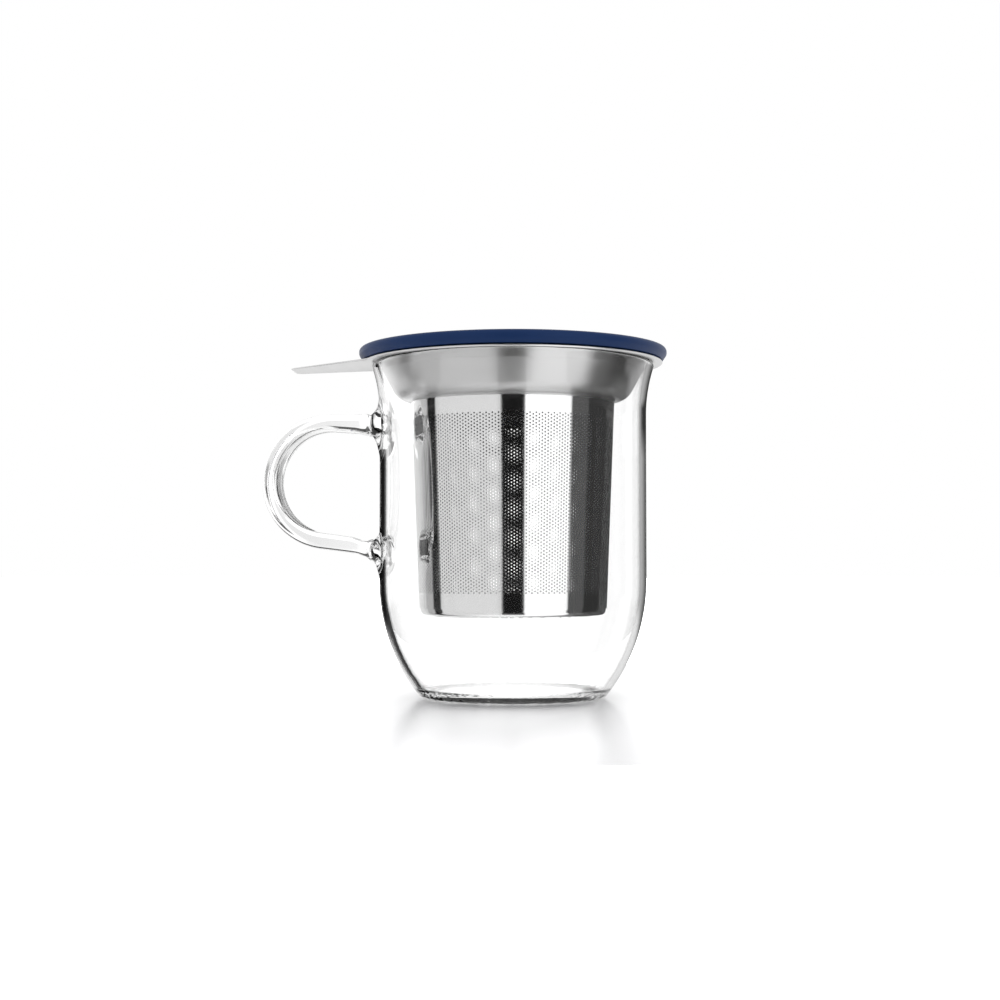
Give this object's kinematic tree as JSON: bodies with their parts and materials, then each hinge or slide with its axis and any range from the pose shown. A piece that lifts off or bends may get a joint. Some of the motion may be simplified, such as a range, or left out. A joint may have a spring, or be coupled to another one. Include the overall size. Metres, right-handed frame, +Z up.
{
  "type": "lidded tea mug with infuser",
  "caption": "Clear glass tea mug with a flat bent glass handle, a lift-out perforated steel infuser with a lifting tab, and a loose blue lid.",
  "frame": {"origin": "middle of the mug's flat foot, on the table", "axes": "+Z up along the mug's axis; the handle and the infuser's tab point along -X"},
  "size_m": [0.1164, 0.0892, 0.1006],
  "materials": {
    "clear_glass": "clear blown borosilicate glass, fire-polished",
    "satin_steel": "pressed stainless steel, satin",
    "polished_steel": "rolled stainless steel sheet, polished, perforated",
    "blue_silicone": "moulded silicone, navy blue, satin"
  },
  "bodies": {
    "mug": {"mug_body": "clear_glass", "mug_handle": "clear_glass"},
    "infuser": {"infuser_collar": "satin_steel", "infuser_wall": "polished_steel", "infuser_base": "polished_steel"},
    "lid": {"lid": "blue_silicone"}
  },
  "joints": [
    {"name": "infuser_lift", "type": "slide", "parent": "mug", "child": "infuser", "axis": [0, 0, 1], "range_m": [0, 0.085]},
    {"name": "lid_lift", "type": "slide", "parent": "infuser", "child": "lid", "axis": [0, 0, 1], "range_m": [0, 0.04]}
  ]
}
